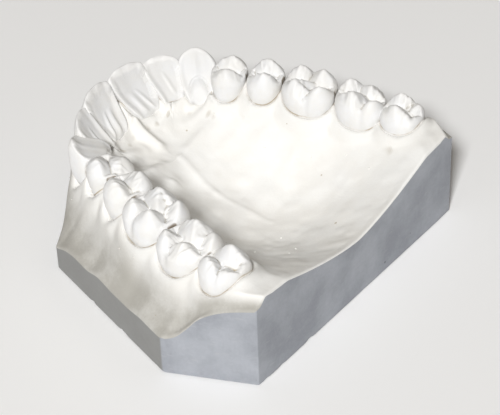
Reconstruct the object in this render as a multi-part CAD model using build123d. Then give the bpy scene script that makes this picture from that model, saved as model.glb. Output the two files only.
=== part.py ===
from build123d import *
import os
from math import cos, exp, hypot, pi

# Upper dental study cast, millimetres: teeth up, +X to the patient's right,
# incisors towards -Y, underside of the base on Z = 0, midline on X = 0.

# Trimmed base
base_thickness = 3.0
front_margin = 6.8           # incisor centre line to the front point
back_margin = 5.0            # end of the last molar to the back face
heel_overhang = 9.8          # heel corner beyond the arch, sideways
back_corner_overhang = 2.5   # back corner beyond the arch, sideways
front_corner_overhang = 0.5  # side/front corner beyond the arch, sideways
heel_cut_length = 15.2       # heel cut, measured along Y
front_cut_length = 16.0      # front cut, measured along Y

# Dental arch, through the crown centres
arch_half_width = 26.1
arch_depth = 52.2
contact_gap = 0.10
# Places on the arch from the midline back, as shares of its half width and of its depth
lateral_place = (0.418, 0.067)
canine_place = (0.594, 0.157)
premolar_place = (0.678, 0.285)
molar_place = (0.839, 0.575)
last_molar_place = (0.992, 0.931)

# Gum and palate, heights above the base
vault_floor = 3.2
papilla_height = 4.2
papilla_half_width = 2.2
papilla_half_length = 2.6
papilla_setback = 0.125      # share of the arch depth
fan_setback = 0.28           # share of the arch depth, where the palate starts to fan out
palate_steepness = 1.9       # above 1 the palate rises late, close to the teeth
socket_clearance = 0.05
lug_height = 1.6
lug_spacing = 16.0
lug_radius = 2.2
lug_tip_share = 0.7          # tip radius over root radius
lug_clearance = 0.05
front_lug_shift = 4.0        # in front of the fan of the palate

# Teeth, from the midline back: width along the arch, depth from cheek to palate, then
# heights above the base of the root tip, neck, widest level and crown top, and
# the places of the cheek and palate edges of the top, measured towards the cheek
teeth = {
    "central_incisor": (8.2, 7.0, 4.5, 8.6, 12.0, 20.0, 2.2, 1.0),
    "lateral_incisor": (6.5, 6.2, 6.5, 10.4, 13.6, 19.3, 2.0, 0.9),
    "canine": (7.3, 7.8, 5.5, 9.6, 13.4, 19.8, 2.2, 1.0),
    "first_premolar": (6.8, 8.8, 8.0, 12.4, 15.6, 19.6, 2.3, -2.4),
    "second_premolar": (6.7, 8.8, 8.5, 13.0, 16.0, 20.1, 2.6, -2.5),
    "first_molar": (9.8, 10.6, 8.5, 13.8, 16.6, 20.5, 2.9, -2.8),
    "second_molar": (9.6, 10.4, 8.5, 13.6, 16.4, 20.2, 2.8, -2.5),
    "third_molar": (8.8, 9.4, 9.5, 14.6, 17.0, 20.0, 2.6, -2.0),
}
front_teeth = ("central_incisor", "lateral_incisor", "canine")
# Half depth and half width of a tooth at each level, as shares of its depth and width
root_size = (0.24, 0.24)
neck_size = (0.40, 0.37)
front_widest_size = (0.46, 0.45)
back_widest_size = (0.48, 0.465)
shoulder_size = (0.26, 0.49)
incisor_edge_width = 0.45
canine_tip_width = 0.10
back_top_width = 0.40
shoulder_lean = 0.7          # shoulder towards the cheek, as a share of the top's lean
fissure_depth = 2.3          # along the arch, between cheek and palate cusps
cross_groove_depth = 1.4     # across a molar, between its cusps
canine_point = 1.6           # canine tip above its corners

# How finely the arch line and the gum surface are sampled
arch_samples = 160
gum_slices = 26
slice_columns = 36

# Everything below follows from the sizes above
cast_length = front_margin + arch_depth + back_margin
front_y = -cast_length / 2
back_y = cast_length / 2
arch_front_y = front_y + front_margin
arch_end_y = back_y - back_margin
fan_centre_y = arch_front_y + fan_setback * arch_depth
papilla_y = arch_front_y + papilla_setback * arch_depth
gum_underside = -2.0         # the gum is shaped down past the seam, then trimmed on it
trim_block_height = 24.0     # taller than any gum
trim_allowance = 1.5         # shaped this far past the trimmed faces


def blend(points, t):
    """Height or width at t on a smooth line through (t, value) pairs."""
    if t <= points[0][0]:
        return points[0][1]
    for (t0, v0), (t1, v1) in zip(points, points[1:]):
        if t <= t1:
            share = (1 - cos(pi * (t - t0) / (t1 - t0))) / 2
            straight = (t - t0) / (t1 - t0)
            return v0 + (v1 - v0) * (share + straight) / 2
    return points[-1][1]


def corner(overhang, y):
    return (arch_half_width + overhang, y)


def on_arch(place):
    return (place[0] * arch_half_width, arch_front_y + place[1] * arch_depth)


back_corner = corner(back_corner_overhang, back_y)
heel_corner = corner(heel_overhang, back_y - heel_cut_length)
front_corner = corner(front_corner_overhang, front_y + front_cut_length)
right_corners = [(0, front_y), front_corner, heel_corner, back_corner]
left_corners = [(-x, y) for x, y in reversed(right_corners[1:])]
outline = make_face(Polyline(right_corners + left_corners, close=True))

# The arch line through the crown centres, and its right half from the midline (0)
# to the end of the last molar (1)
right_arch = [on_arch(lateral_place), on_arch(canine_place), on_arch(premolar_place),
              on_arch(molar_place), on_arch(last_molar_place), (arch_half_width, arch_end_y)]
left_arch = [(-x, y) for x, y in reversed(right_arch)]
arch_line = Spline(*left_arch, (0, arch_front_y), *right_arch)


def arch_point(share):
    return arch_line @ (0.5 + share / 2)


def arch_direction(share):
    return arch_line % (0.5 + share / 2)


arch_points = [arch_point(i / arch_samples) for i in range(arch_samples + 1)]
arch_directions = [arch_direction(i / arch_samples) for i in range(arch_samples + 1)]
arch_length = arch_line.length / 2
natural_widths = [tooth[0] for tooth in teeth.values()]
width_fit = arch_length / sum(natural_widths)

# Along the arch, from 0 at the midline to 1 behind the last molar
neck_cheek = [(0, 3.1), (0.25, 3.5), (0.42, 4.2), (0.6, 4.9), (1, 4.6)]
neck_palate = [(0, 3.4), (0.25, 3.8), (0.42, 4.2), (0.6, 4.9), (1, 4.4)]
gum_cheek = [(0, 10.2), (0.25, 9.8), (0.42, 13.4), (0.65, 14.4), (1, 14.8)]
gum_palate = [(0, 9.2), (0.18, 11.2), (0.3, 10.6), (0.45, 13.6), (0.65, 14.4), (1, 15.6)]
trim_height = [(0, 3.6), (0.05, 5.0), (0.2, 4.5), (0.29, 0.8), (0.37, 2.3), (0.42, 3.4),
               (0.5, 4.4), (0.56, 5.9), (0.64, 5.0), (0.8, 5.2), (0.87, 6.5), (0.93, 10.6), (1, 13.3)]
# From the neck (0) out to the trimmed face (1)
cheek_slope = [(0, 1.0), (0.16, 0.78), (0.34, 0.42), (0.55, 0.16), (0.8, 0.03), (1, 0.0)]
# Height of the palate along the midline, by the share of the arch depth
midline = [(0.28, 8.3), (0.32, 8.2), (0.39, 6.3), (0.48, 4.7), (0.57, 3.8), (0.68, vault_floor),
           (0.85, 4.8), (1.0, 8.6), (1.1, 10.2)]


def nearest_on_arch(x, y):
    """Share along the arch and signed distance, positive towards the cheek."""
    if y > arch_end_y:
        return 1.0, x - arch_half_width
    gaps = [hypot(x - p.X, y - p.Y) for p in arch_points]
    i = gaps.index(min(gaps))
    place, way = arch_points[i], arch_directions[i]
    side = (x - place.X) * way.Y - (y - place.Y) * way.X
    return i / arch_samples, gaps[i] if side > 0 else -gaps[i]


def distance_to_trim(share):
    """Distance from the arch, square to it, to the trimmed outline."""
    i = round(share * arch_samples)
    place, way = arch_points[i], arch_directions[i]
    out_x, out_y = way.Y, -way.X
    reach = []
    for (x0, y0), (x1, y1) in zip(right_corners, right_corners[1:]):
        normal_x, normal_y = y1 - y0, x0 - x1
        facing = normal_x * out_x + normal_y * out_y
        if facing > 0:
            gap = normal_x * (x0 - place.X) + normal_y * (y0 - place.Y)
            reach.append(gap / facing)
    return min(reach)


trim_reach = [distance_to_trim(i / arch_samples) for i in range(arch_samples + 1)]


def gum_surface_height(x, y):
    """Height of the gum or palate above the base."""
    x = abs(x)
    share, distance = nearest_on_arch(x, y)
    cheek_edge = blend(neck_cheek, share)
    palate_edge = blend(neck_palate, share)
    cheek_top = blend(gum_cheek, share)
    palate_top = blend(gum_palate, share)
    if distance >= cheek_edge:
        reach = trim_reach[round(share * arch_samples)] - cheek_edge
        drop = blend(cheek_slope, (distance - cheek_edge) / reach)
        edge = blend(trim_height, share)
        height = edge + (cheek_top - edge) * drop
    elif distance > -palate_edge:
        across = (distance + palate_edge) / (cheek_edge + palate_edge)
        height = palate_top + (cheek_top - palate_top) * across
    else:
        from_middle = hypot(x, min(0, y - fan_centre_y))
        up = from_middle / (from_middle - distance - palate_edge)
        floor = blend(midline, (y - arch_front_y) / arch_depth)
        height = floor + (palate_top - floor) * up ** palate_steepness
    away = (x / papilla_half_width) ** 2 + ((y - papilla_y) / papilla_half_length) ** 2
    return height + papilla_height * exp(-away)


def lugs(grow):
    """Cast lugs that key the anatomical part into the base."""
    canine_x = on_arch(canine_place)[0]
    premolar_x, premolar_y = on_arch(premolar_place)
    spots = [(0, fan_centre_y - front_lug_shift)]
    for side in (-1, 1):
        spots.append((side * canine_x, premolar_y + lug_spacing / 2))
        spots.append((side * premolar_x, arch_end_y - lug_spacing / 2))
    lug = Cone(lug_tip_share * lug_radius + grow, lug_radius + grow, lug_height + grow,
               align=(Align.CENTER, Align.CENTER, Align.MAX))
    return [Pos(x, y, 0) * lug for x, y in spots]


def tooth_body(name, grow=0.0):
    """Root peg and crown, smooth on top, standing on the local origin."""
    natural_width, depth, root, neck, widest, top, cheek_edge, palate_edge = teeth[name]
    width = natural_width * width_fit - contact_gap
    edge_depth = (cheek_edge - palate_edge) / 2
    edge_place = (cheek_edge + palate_edge) / 2

    def ring(height, size, lean=0.0):
        half_depth, half_width = size[0] * depth, size[1] * width
        return Pos(0, -lean, height) * Ellipse(half_width + grow, half_depth + grow)

    rings = [ring(root, root_size), ring(neck, neck_size)]
    if name == "canine":
        rings.append(ring(widest, front_widest_size))
        rings.append(ring(top - canine_point, shoulder_size, edge_place * shoulder_lean))
        rings.append(ring(top, (edge_depth / depth, canine_tip_width), edge_place))
    elif name in front_teeth:
        rings.append(ring(widest, front_widest_size))
        rings.append(ring((widest + top) / 2, shoulder_size, edge_place * shoulder_lean))
        rings.append(ring(top, (edge_depth / depth, incisor_edge_width), edge_place))
    else:
        rings.append(ring(widest, back_widest_size))
        rings.append(ring(top, (edge_depth / depth, back_top_width), edge_place))
    return loft(rings)


def groove(half_width, drop, top, length):
    """V-shaped cutter along local X, its floor a drop below the top."""
    lift = 1.0
    wide = half_width * (drop + lift) / drop
    profile = Polyline((-wide, top + lift), (wide, top + lift), (0, top - drop), close=True)
    return extrude(Plane.YZ * make_face(profile), length / 2, both=True)


def make_tooth(name):
    """Root peg, crown and cusps in one piece."""
    natural_width, depth, root, neck, widest, top, cheek_edge, palate_edge = teeth[name]
    tooth = tooth_body(name)
    if name in front_teeth:
        return tooth
    edge_depth = (cheek_edge - palate_edge) / 2
    fissure = groove(edge_depth, fissure_depth, top, 2 * natural_width)
    tooth -= Pos(0, -(cheek_edge + palate_edge) / 2, 0) * fissure
    if "molar" in name and "pre" not in name:
        tooth -= Rot(0, 0, 90) * groove(natural_width / 4, cross_groove_depth, top, 2 * depth)
    return tooth


def tooth_places():
    """Location of each right tooth on the arch, spaced by the tooth widths."""
    places = {}
    start = 0.0
    for name, tooth in teeth.items():
        width = tooth[0] * width_fit
        share = (start + width / 2) / arch_length
        start += width
        way = arch_direction(share)
        place = arch_point(share)
        places[name] = Plane(origin=(place.X, place.Y, base_thickness), x_dir=way).location
    return places


def make_base():
    slab = extrude(outline, base_thickness)
    return slab - [Pos(0, 0, base_thickness) * lug for lug in lugs(lug_clearance)]


def gum_section(y):
    """Slice of the gum across the cast, square to the midline."""
    half_width = max(x for x, y in right_corners) + trim_allowance
    stops = [half_width * (2 * i / slice_columns - 1) for i in range(slice_columns + 1)]
    top = [(x, gum_surface_height(x, y)) for x in stops]
    sides = Polyline(top[-1], (half_width, gum_underside), (-half_width, gum_underside), top[0])
    slice_face = make_face([Spline(*top), sides])
    return Plane(origin=(0, y, 0), x_dir=(1, 0, 0), z_dir=(0, -1, 0)).location * slice_face


def make_gum_and_palate():
    reach = cast_length / 2 + trim_allowance
    stops = [reach * (2 * j / gum_slices - 1) for j in range(gum_slices + 1)]
    ground = loft([gum_section(y) for y in stops], ruled=True)
    gum = extrude(outline, trim_block_height) & ground
    for lug in lugs(0):
        gum += lug
    return Pos(0, 0, base_thickness) * gum


def save(shape, name):
    export_step(shape, "parts/" + name + ".step")


os.makedirs("parts", exist_ok=True)
gum_and_palate = make_gum_and_palate()
for name, place in tooth_places().items():
    tooth = place * make_tooth(name)
    socket = place * tooth_body(name, socket_clearance)
    gum_and_palate = gum_and_palate - socket - mirror(socket, about=Plane.YZ)
    save(tooth, "right_" + name)
    save(mirror(tooth, about=Plane.YZ), "left_" + name)
save(make_base(), "base")
save(gum_and_palate, "gum_and_palate")
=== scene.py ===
import bpy
import numpy as np
from mathutils import Matrix, Vector


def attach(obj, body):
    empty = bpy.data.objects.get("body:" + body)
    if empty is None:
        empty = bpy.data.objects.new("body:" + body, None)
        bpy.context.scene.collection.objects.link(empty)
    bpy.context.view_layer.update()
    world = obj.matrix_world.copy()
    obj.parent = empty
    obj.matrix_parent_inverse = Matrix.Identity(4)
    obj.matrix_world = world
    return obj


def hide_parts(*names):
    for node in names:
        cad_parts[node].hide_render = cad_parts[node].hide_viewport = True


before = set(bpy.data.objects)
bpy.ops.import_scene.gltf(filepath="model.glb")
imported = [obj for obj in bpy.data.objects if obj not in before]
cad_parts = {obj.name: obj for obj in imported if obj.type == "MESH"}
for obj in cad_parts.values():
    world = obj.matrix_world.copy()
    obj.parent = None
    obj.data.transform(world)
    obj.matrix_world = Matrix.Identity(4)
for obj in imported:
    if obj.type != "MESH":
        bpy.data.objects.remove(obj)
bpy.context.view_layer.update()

# Lengths below are millimetres, in the same frame as the CAD: teeth up, incisors towards -Y,
# +X the patient's right. A tooth's own axes are u, backwards along the arch, and v, towards the cheek.
millimetre = 0.001
toothNames = ["central_incisor", "lateral_incisor", "canine", "first_premolar",
              "second_premolar", "first_molar", "second_molar", "third_molar"]


def smoothMax(a, b, width):
    # the larger of two fields, with the corner between them rounded over width mm
    return 0.5 * (a + b + np.sqrt((a - b) ** 2 + width * width))


def curve(points, x):
    # smooth line through (x, value) pairs, flat beyond its ends
    xs = np.array([p[0] for p in points], float)
    ys = np.array([p[1] for p in points], float)
    slopes = np.gradient(ys, xs)
    step = np.diff(ys) / np.diff(xs)
    slopes[1:-1] = np.where(step[:-1] * step[1:] > 0, slopes[1:-1], 0)
    slopes[0], slopes[-1] = step[0], step[-1]
    x = np.clip(x, xs[0], xs[-1])
    i = np.clip(np.searchsorted(xs, x) - 1, 0, len(xs) - 2)
    width = xs[i + 1] - xs[i]
    t = (x - xs[i]) / width
    return ((1 + 2 * t) * (1 - t) ** 2 * ys[i] + t * (1 - t) ** 2 * width * slopes[i]
            + t * t * (3 - 2 * t) * ys[i + 1] - t * t * (1 - t) * width * slopes[i + 1])


def hump(x, width):
    # 1 at x = 0, fading out within about two widths
    return np.exp(-(x / width) ** 2)


def lineDistance(u, v, a, b):
    # distance to the segment a-b in plan, and the share along it
    du, dv = b[0] - a[0], b[1] - a[1]
    share = np.clip(((u - a[0]) * du + (v - a[1]) * dv) / max(du * du + dv * dv, 1e-9), 0, 1)
    return np.hypot(u - a[0] - share * du, v - a[1] - share * dv), share


def softNoise(x, y, z, size, seed):
    # smooth lumps between about -1 and 1, size mm apart, the same on every run
    cells = 32
    lattice = np.random.default_rng(seed).uniform(-1, 1, (cells, cells, cells))
    spots = [np.asarray(k, float) / size + 100 for k in (0.8 * x + 0.6 * y, 0.8 * y - 0.6 * x, z)]
    low = [np.floor(k).astype(int) for k in spots]
    part = [(k - f) ** 3 * ((k - f) * ((k - f) * 6 - 15) + 10) for k, f in zip(spots, low)]
    total = 0.0
    for i in (0, 1):
        for j in (0, 1):
            for k in (0, 1):
                share = [t if step else 1 - t for t, step in zip(part, (i, j, k))]
                total = total + share[0] * share[1] * share[2] * lattice[
                    (low[0] + i) % cells, (low[1] + j) % cells, (low[2] + k) % cells]
    return total * 1.3


def meshPiece(name, points, faces):
    mesh = bpy.data.meshes.new(name)
    mesh.from_pydata([tuple(p) for p in points * millimetre], [], faces)
    mesh.update()
    mesh.polygons.foreach_set("use_smooth", [True] * len(mesh.polygons))
    piece = bpy.data.objects.new(name, mesh)
    bpy.context.scene.collection.objects.link(piece)
    return piece


def paint(piece, name, values):
    # a number on every point, which the materials read
    layer = piece.data.attributes.new(name, "FLOAT", "POINT")
    layer.data.foreach_set("value", np.asarray(values, np.float32))


# Premolars and molars of the right side; the left ones are mirrored.
# at: the crown's axis in plan; turn: where its cheek side faces, degrees from +X
# levels: height, half width along the arch, half depth to the cheek, half depth to the palate
# power: 2 is an oval outline, above 2 squarer; skew: how far the outline leans along the arch
# ridges: crest lines (u, v, height) to (u, v, height); slope: how steeply their sides fall
# grooves: fissures (u, v) to (u, v); floor: height of the biting surface between the ridges
# margin: height of the gum line at the cheek, palate, mesial and distal sides
# sharp: below 1.3 the gum stands higher between the teeth on the cheek side
# cheekGroove, palateGroove: place along u and depth of the groove down that side
backTeeth = {
    "first_premolar": dict(
        at=(17.1, -10.3), turn=-25, power=2.3, skew=0.0,
        levels=[(8, 1.6, 2.6, 2.6), (13, 2.5, 3.1, 3.4), (15.5, 2.8, 3.6, 4.0), (17.5, 3.1, 4.1, 4.4),
                (19.6, 3.42, 4.2, 4.4), (20.8, 3.35, 3.9, 4.1), (22.2, 2.7, 3.1, 3.3), (23.6, 1.6, 1.9, 2.2)],
        ridges=[((0, 2.2, 22.5), (-2.7, 1.5, 20.8)), ((0, 2.2, 22.5), (2.7, 1.6, 20.8)),
                ((-.15, -2.4, 22.7), (-2.5, -1.3, 20.9)), ((-.15, -2.4, 22.7), (2.4, -1.5, 20.9)),
                ((-2.95, 1.4, 20.7), (-2.95, -1.2, 20.7)), ((2.95, 1.4, 20.7), (2.95, -1.2, 20.7)),
                ((0, 2.2, 22.5), (0.1, 0.4, 20.3)), ((-.15, -2.4, 22.7), (0, -0.4, 20.3))],
        grooves=[((-1.9, 0.0), (1.9, 0.0))], slope=0.95, floor=20.0,
        margin=(14.4, 16.3, 19.2, 19.2), sharp=0.75),
    "second_premolar": dict(
        at=(19.6, -3.6), turn=-20, power=2.3, skew=0.0,
        levels=[(8, 1.6, 2.6, 2.6), (13, 2.5, 3.3, 3.4), (15.5, 2.8, 3.9, 4.0), (17.5, 3.1, 4.4, 4.4),
                (19.6, 3.4, 4.5, 4.5), (20.8, 3.35, 4.2, 4.2), (22.4, 2.7, 3.3, 3.4), (24, 1.6, 2.0, 2.2)],
        ridges=[((-.5, 2.6, 23.0), (-2.7, 1.7, 21.0)), ((-.5, 2.6, 23.0), (2.6, 1.8, 21.1)),
                ((.5, -2.5, 23.2), (-2.4, -1.6, 21.2)), ((.5, -2.5, 23.2), (2.6, -1.5, 21.2)),
                ((-2.95, 1.5, 20.9), (-2.95, -1.4, 20.9)), ((2.95, 1.5, 20.9), (2.95, -1.3, 20.9)),
                ((-.5, 2.6, 23.0), (-.1, 0.4, 20.6)), ((.5, -2.5, 23.2), (.1, -0.4, 20.6))],
        grooves=[((-1.9, 0.0), (1.9, 0.0)), ((-1.9, 0.0), (-2.5, 1.0)), ((1.9, 0.0), (2.4, -0.9))],
        slope=0.95, floor=20.2,
        margin=(14.4, 17.3, 19.2, 19.2), sharp=0.75),
    "first_molar": dict(
        at=(21.9, 4.8), turn=-15, power=2.7, skew=-0.10,
        levels=[(8, 2.8, 3.2, 3.2), (13, 3.7, 4.1, 4.2), (15.8, 4.1, 4.8, 4.7), (17.6, 4.6, 5.2, 5.1),
                (19.6, 5.15, 5.2, 5.2), (20.9, 5.1, 4.8, 4.9), (22.4, 4.5, 3.9, 4.2), (24.2, 3.3, 2.6, 3.1)],
        ridges=[((-2.8, 2.8, 23.0), (-.6, 3.1, 21.3)), ((1.8, 2.5, 23.2), (-.6, 3.1, 21.3)),
                ((-2.8, 2.8, 23.0), (-4.3, 1.8, 21.2)), ((1.8, 2.5, 23.2), (4.1, 1.7, 21.3)),
                ((-2.1, -2.3, 23.3), (-4.2, -1.5, 21.3)), ((3.2, -2.95, 23.5), (4.4, -1.2, 21.6)),
                ((-2.1, -2.3, 23.3), (0.9, -3.0, 21.6)), ((3.2, -2.95, 23.5), (0.9, -3.0, 21.6)),
                ((-4.4, 1.8, 21.1), (-4.4, -1.4, 21.1)), ((4.35, 1.6, 21.2), (4.4, -1.3, 21.3)),
                ((-2.8, 2.8, 23.0), (-1.4, 0.8, 20.7)), ((-2.1, -2.3, 23.3), (-1.5, -0.5, 20.9)),
                ((1.8, 2.5, 23.2), (0.9, 0.4, 21.3)), ((-2.1, -2.3, 23.3), (0.9, 0.4, 21.3)),
                ((3.2, -2.95, 23.5), (2.8, -1.0, 21.1))],
        grooves=[((-3.4, 0.1), (-0.9, 0.6)), ((-0.9, 0.6), (-0.6, 3.4)), ((2.4, -0.3), (0.9, -3.4)),
                 ((2.4, -0.3), (3.6, 0.6))],
        slope=1.0, floor=20.4, margin=(15.6, 17.5, 19.2, 19.2),
        cheekGroove=(-0.6, 0.45), palateGroove=(0.9, 0.45)),
    "second_molar": dict(
        at=(24.4, 14.5), turn=-11, power=2.6, skew=-0.16,
        levels=[(8, 2.7, 3.2, 3.2), (13, 3.6, 4.0, 4.1), (15.8, 3.9, 4.8, 4.6), (17.4, 4.3, 5.2, 4.9),
                (19.4, 4.8, 5.2, 5.0), (20.7, 4.75, 4.8, 4.7), (22.2, 4.2, 3.8, 4.0), (24, 3.1, 2.5, 2.9)],
        ridges=[((-3.3, 3.0, 22.7), (-1.0, 3.1, 20.9)), ((1.2, 2.4, 22.2), (-1.0, 3.1, 20.9)),
                ((-3.3, 3.0, 22.7), (-4.4, 1.7, 21.0)), ((1.2, 2.4, 22.2), (3.8, 1.6, 20.7)),
                ((-.8, -2.1, 23.5), (-4.0, -1.6, 21.2)), ((3.4, -2.5, 23.1), (4.4, -0.9, 21.3)),
                ((-.8, -2.1, 23.5), (1.6, -2.9, 21.4)), ((3.4, -2.5, 23.1), (1.6, -2.9, 21.4)),
                ((-4.4, 1.7, 21.0), (-4.2, -1.5, 21.1)), ((4.2, 1.5, 20.8), (4.4, -0.9, 21.1)),
                ((-3.3, 3.0, 22.7), (-1.7, 0.8, 20.5)), ((-.8, -2.1, 23.5), (-1.2, -0.4, 21.0)),
                ((1.2, 2.4, 22.2), (0.9, 0.6, 20.8)), ((-.8, -2.1, 23.5), (0.9, 0.6, 20.8)),
                ((3.4, -2.5, 23.1), (2.9, -0.8, 20.9))],
        grooves=[((-3.4, 0.1), (-1.1, 0.7)), ((-1.1, 0.7), (-1.0, 3.4)), ((2.4, -0.1), (1.6, -3.3)),
                 ((2.4, -0.1), (3.6, 0.7))],
        slope=1.0, floor=20.1, margin=(15.4, 17.3, 19.0, 19.4),
        cheekGroove=(-1.0, 0.40), palateGroove=(1.6, 0.40)),
    "third_molar": dict(
        at=(25.5, 23.0), turn=-5, power=2.4, skew=-0.08,
        levels=[(8, 2.4, 2.8, 2.8), (13, 3.1, 3.6, 3.6), (16.2, 3.4, 4.2, 4.0), (18, 3.7, 4.5, 4.2),
                (19.8, 4.0, 4.5, 4.3), (20.9, 3.95, 4.1, 4.1), (22.2, 3.4, 3.4, 3.4), (24, 2.3, 2.1, 2.3)],
        ridges=[((-1.5, 2.6, 22.9), (-3.6, 1.5, 20.9)), ((-1.5, 2.6, 22.9), (1.0, 2.8, 21.3)),
                ((2.2, 2.2, 21.9), (1.0, 2.8, 21.3)), ((2.2, 2.2, 21.9), (3.7, 0.8, 21.3)),
                ((-.4, -2.0, 23.3), (-3.4, -1.3, 21.1)), ((-.4, -2.0, 23.3), (2.6, -2.0, 21.8)),
                ((2.6, -2.0, 21.8), (3.8, 0.3, 21.2)), ((-3.7, 1.4, 20.8), (-3.6, -1.2, 20.8)),
                ((-1.5, 2.6, 22.9), (-.9, 0.7, 20.6)), ((-.4, -2.0, 23.3), (-.7, -0.4, 20.8)),
                ((2.2, 2.2, 21.9), (1.2, 0.6, 20.8)), ((-.4, -2.0, 23.3), (1.1, 0.3, 20.9))],
        grooves=[((-2.8, 0.1), (-0.2, 0.7)), ((-0.2, 0.7), (1.0, 3.1)), ((-0.2, 0.7), (2.6, -0.4))],
        slope=0.95, floor=20.2, margin=(16.6, 18.8, 19.2, 20.4),
        cheekGroove=(1.0, 0.35), palateGroove=(2.4, 0.2)),
}

# Incisors and canine of the right side.
# cheek and palate: height, place v of that surface; widths: height, half width; bow: roundness
# edge: height of the biting edge along u; lean: how far the neck shifts back along the arch
# marginRidge: how proud the rims stand; cingulum: height and how proud it stands
# fingers: small ridges, each with its place u, how proud, tilt and width
# boss: height of the canine's bulge and how proud it stands; rib, ridge: down the cheek and palate side
# crisp: rounding of the biting edge
frontTeeth = {
    "central_incisor": dict(
        at=(4.1, -24.6), turn=-80, lean=1.0,
        cheek=[(7, -0.6), (11.5, 0.2), (13.5, 0.9), (16, 1.6), (19, 1.9), (21.5, 1.5), (23.2, 0.9)],
        palate=[(7, -3.0), (11, -4.4), (14.2, -5.1), (15.6, -4.6), (17.2, -3.4), (19, -2.1), (21.5, -0.7),
                (23.2, 0.1)],
        widths=[(7, 2.4), (12, 3.2), (14, 3.5), (16.5, 4.0), (20.5, 4.5), (22.4, 4.5), (23.2, 4.2)],
        edge=[(-4.4, 22.3), (-3.6, 22.9), (0, 23.0), (3.3, 22.8), (4.4, 22.0)],
        marginRidge=0.95, cingulum=(14.8, 0.9), fingers=[(-0.2, 0.6, -0.3, 0.6), (1.7, 0.5, -0.45, 0.4)],
        bow=0.055, margin=(13.4, 14.1, 18.0, 17.8)),
    "lateral_incisor": dict(
        at=(10.7, -21.8), turn=-58, lean=1.1,
        cheek=[(7, -0.8), (12, 0.4), (14, 1.0), (16.5, 1.6), (19, 1.8), (21, 1.6), (22.6, 1.2)],
        palate=[(7, -2.8), (12, -4.0), (15.2, -4.5), (16.6, -3.7), (18, -2.5), (19.6, -1.3), (21, -0.3),
                (22.6, 0.5)],
        widths=[(7, 1.9), (13, 2.5), (15, 2.9), (18, 3.4), (20.8, 3.95), (21.8, 3.8), (22.6, 3.4)],
        edge=[(-3.8, 21.6), (-2.7, 22.3), (0, 22.5), (2.4, 22.1), (3.7, 21.0)],
        marginRidge=0.8, cingulum=(16.0, 0.5), fingers=[(0.8, 0.25, -0.3, 0.4)],
        bow=0.07, margin=(13.8, 15.3, 18.0, 17.8)),
    "canine": dict(
        at=(15.6, -17.2), turn=-38, lean=0.8,
        cheek=[(7, 0.6), (10.5, 1.2), (12.5, 1.7), (15, 2.4), (18, 2.8), (20.5, 2.8), (22.8, 2.1)],
        palate=[(7, -3.0), (11.5, -4.4), (14, -4.9), (15.5, -4.6), (17, -3.8), (18.5, -2.5), (20, -1.0),
                (21.4, 0.4), (22.8, 1.6)],
        widths=[(7, 1.9), (12, 2.4), (15, 3.1), (18, 3.7), (20.2, 3.85), (21.5, 3.2), (22.8, 2.0)],
        edge=[(-3.9, 20.6), (-2.6, 21.7), (-0.1, 22.7), (2.4, 21.6), (3.9, 20.2)],
        marginRidge=0.5, cingulum=(15.0, 0.4), fingers=[], boss=(16.0, 0.5), rib=0.3, ridge=0.25, crisp=0.25,
        bow=0.14, margin=(11.6, 14.3, 18.2, 18.6), sharp=0.65),
}
# What all crowns share: mesh cells along a cube edge; where the hidden root ends; how far a point can
# be from the heart; the rounding of ridges, valleys and shoulders; fissures; ripples of the cusps;
# unevenness of the plaster
crowns = dict(cells=52, bottom=8.0, heart=17.0, reach=13.0, step=0.35, ridgeRound=0.38, valleyRound=0.07,
              shoulderRound=0.3, topFall=0.72, grooveDepth=0.45, grooveWidth=0.22, sideGrooveWidth=0.75,
              ripple=0.34, rippleSize=0.85, edgeRound=0.35, sideRound=0.75, bossGroove=0.32,
              wobble=0.035, wobbleSize=2.2)


def backToothField(tooth, u, v, z):
    # above 0 outside the crown, below 0 inside
    z = z + tooth.get("lowPalate", 0) * curve([(-2.2, 1), (-0.4, 0)], v) * curve([(17, 0), (20, 1)], z)
    level = np.array(tooth["levels"])
    halfU = curve(level[:, [0, 1]].tolist(), z)
    cheek = curve(level[:, [0, 2]].tolist(), z)
    palate = curve(level[:, [0, 3]].tolist(), z)
    halfV = np.where(v > 0, cheek, palate)
    for key, side in (("cheekGroove", 1), ("palateGroove", -1)):
        if key in tooth:
            place, depth = tooth[key]
            reach = np.where(v * side > 0, depth, 0) * hump(u - place, crowns["sideGrooveWidth"])
            halfV = halfV - reach * curve([(16.5, 0), (20, 1)], z)
    skewed = u - tooth["skew"] * v
    p = tooth["power"]
    around = ((np.abs(skewed) / halfU) ** p + (np.abs(v) / halfV) ** p) ** (1 / p)
    flank = (around - 1) * np.minimum(halfU, halfV)
    height = np.full_like(u, tooth["floor"])
    for a, b in tooth["ridges"]:
        away, share = lineDistance(u, v, a, b)
        crestHeight = a[2] + (b[2] - a[2]) * share ** 1.5
        side = np.sqrt(away ** 2 + crowns["ridgeRound"] ** 2) - crowns["ridgeRound"]
        height = smoothMax(height, crestHeight - tooth["slope"] * side, crowns["valleyRound"])
    for a, b in tooth["grooves"]:
        height = height - crowns["grooveDepth"] * hump(lineDistance(u, v, a, b)[0], crowns["grooveWidth"])
    ridged = 0.5 - np.abs(softNoise(u + 0.25 * v, 0.35 * v, 0 * u + tooth["at"][1], crowns["rippleSize"], 21))
    height = height + crowns["ripple"] * ridged * curve([(0.3, 0), (1.2, 1)], np.abs(v))
    top = (z - height) * crowns["topFall"]
    return smoothMax(smoothMax(flank, top, crowns["shoulderRound"]), crowns["bottom"] - z, 0.3)


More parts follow.
